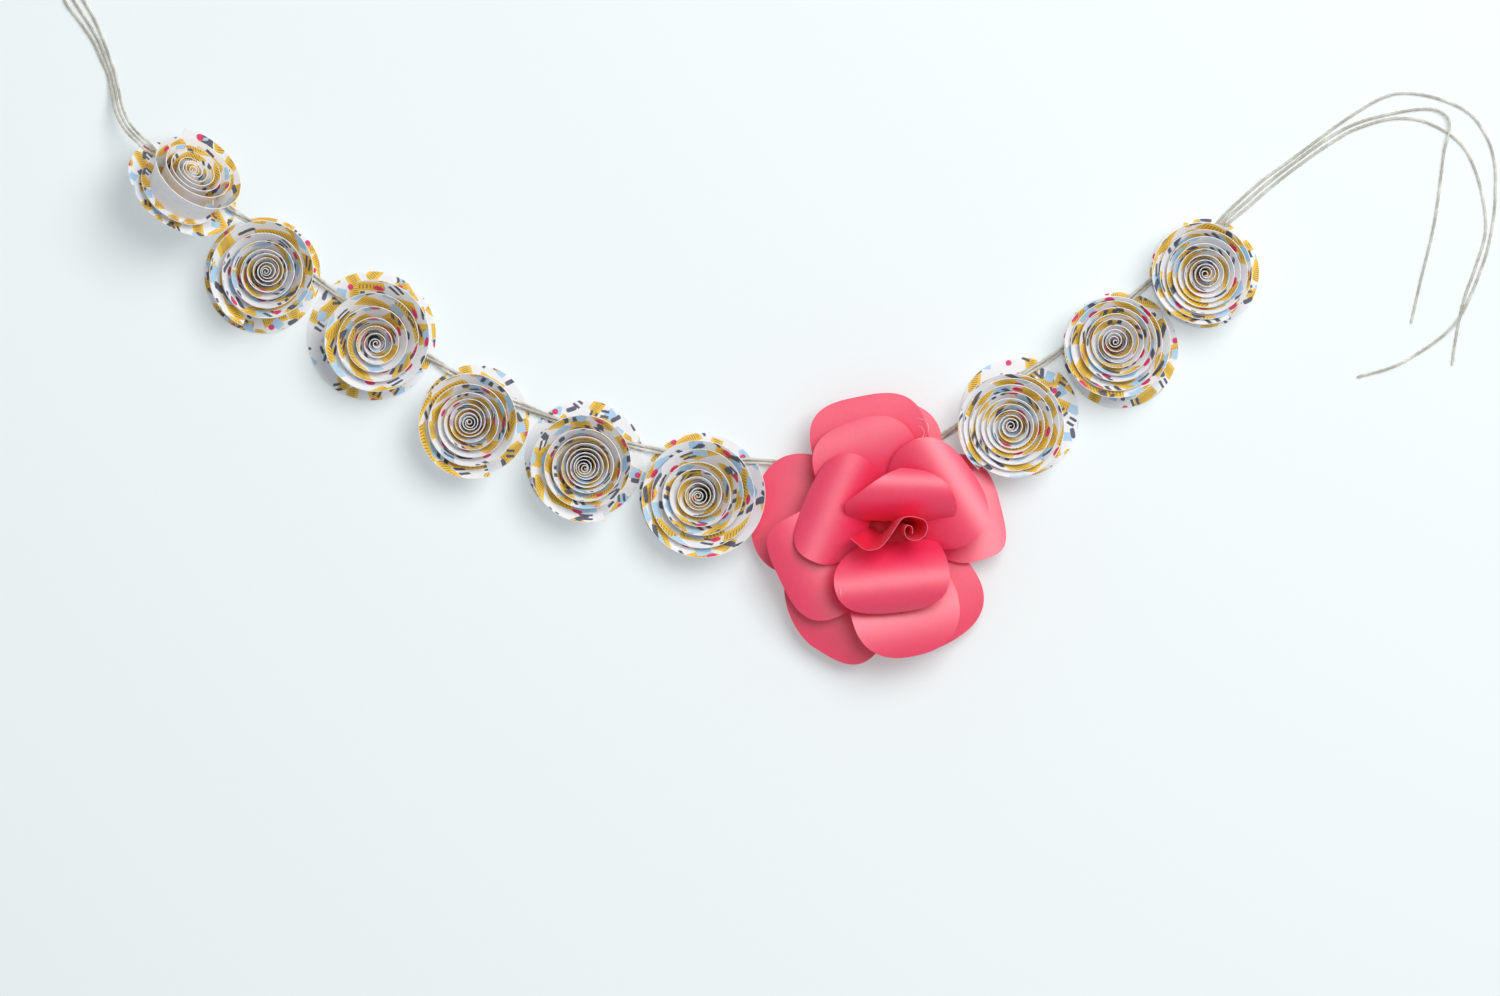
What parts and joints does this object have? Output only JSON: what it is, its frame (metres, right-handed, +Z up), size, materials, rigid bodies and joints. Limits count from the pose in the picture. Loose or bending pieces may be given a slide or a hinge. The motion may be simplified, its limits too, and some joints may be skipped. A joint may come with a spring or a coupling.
{
  "type": "paper flower garland",
  "caption": "Garland of rolled flowers of printed paper and a large card rose, glued over a loosely twisted twine cord with loose twine tails at both ends.",
  "frame": {"origin": "On the surface that the garland lies on, under the middle of the flowers' and the cord's box", "axes": "+X along the garland from the tipped end flower to the other end, +Y from the rose towards the ends, +Z up, out of the flowers"},
  "size_m": [0.6609, 0.3275, 0.0556],
  "materials": {
    "printed_paper": "matt white craft paper, printed on one side with small amber, pale blue, grey and raspberry shapes, plain on the back",
    "rose_card": "coral red card, lightly sheened",
    "twine": "natural jute twine, fibrous",
    "hot_glue": "cloudy hot-melt glue"
  },
  "bodies": {
    "root": {"twine_cord": "twine", "rolled_flower_1": "printed_paper", "rolled_flower_2": "printed_paper", "rolled_flower_3": "printed_paper", "rolled_flower_4": "printed_paper", "rolled_flower_5": "printed_paper", "rolled_flower_6": "printed_paper", "rolled_flower_7": "printed_paper", "rolled_flower_8": "printed_paper", "rolled_flower_9": "printed_paper", "backing_disc_1": "printed_paper", "backing_disc_2": "printed_paper", "backing_disc_3": "printed_paper", "backing_disc_4": "printed_paper", "backing_disc_5": "printed_paper", "backing_disc_6": "printed_paper", "backing_disc_7": "printed_paper", "backing_disc_8": "printed_paper", "backing_disc_9": "printed_paper", "flower_glue_1": "hot_glue", "flower_glue_2": "hot_glue", "flower_glue_3": "hot_glue", "flower_glue_4": "hot_glue", "flower_glue_5": "hot_glue", "flower_glue_6": "hot_glue", "flower_glue_7": "hot_glue", "flower_glue_8": "hot_glue", "flower_glue_9": "hot_glue", "rose_glue": "hot_glue", "rose_base": "rose_card", "outer_petal_1": "rose_card", "outer_petal_2": "rose_card", "outer_petal_3": "rose_card", "outer_petal_4": "rose_card", "outer_petal_5": "rose_card", "outer_petal_6": "rose_card", "middle_petal_1": "rose_card", "middle_petal_2": "rose_card", "middle_petal_3": "rose_card", "middle_petal_4": "rose_card", "middle_petal_5": "rose_card", "inner_petal_1": "rose_card", "inner_petal_2": "rose_card", "rolled_bud": "rose_card", "right_tail_a": "twine", "right_tail_b": "twine", "right_tail_c": "twine", "left_tail_a": "twine", "left_tail_b": "twine", "left_tail_c": "twine", "left_tail_coil": "twine", "coil_tie": "twine"}
  },
  "joints": []
}
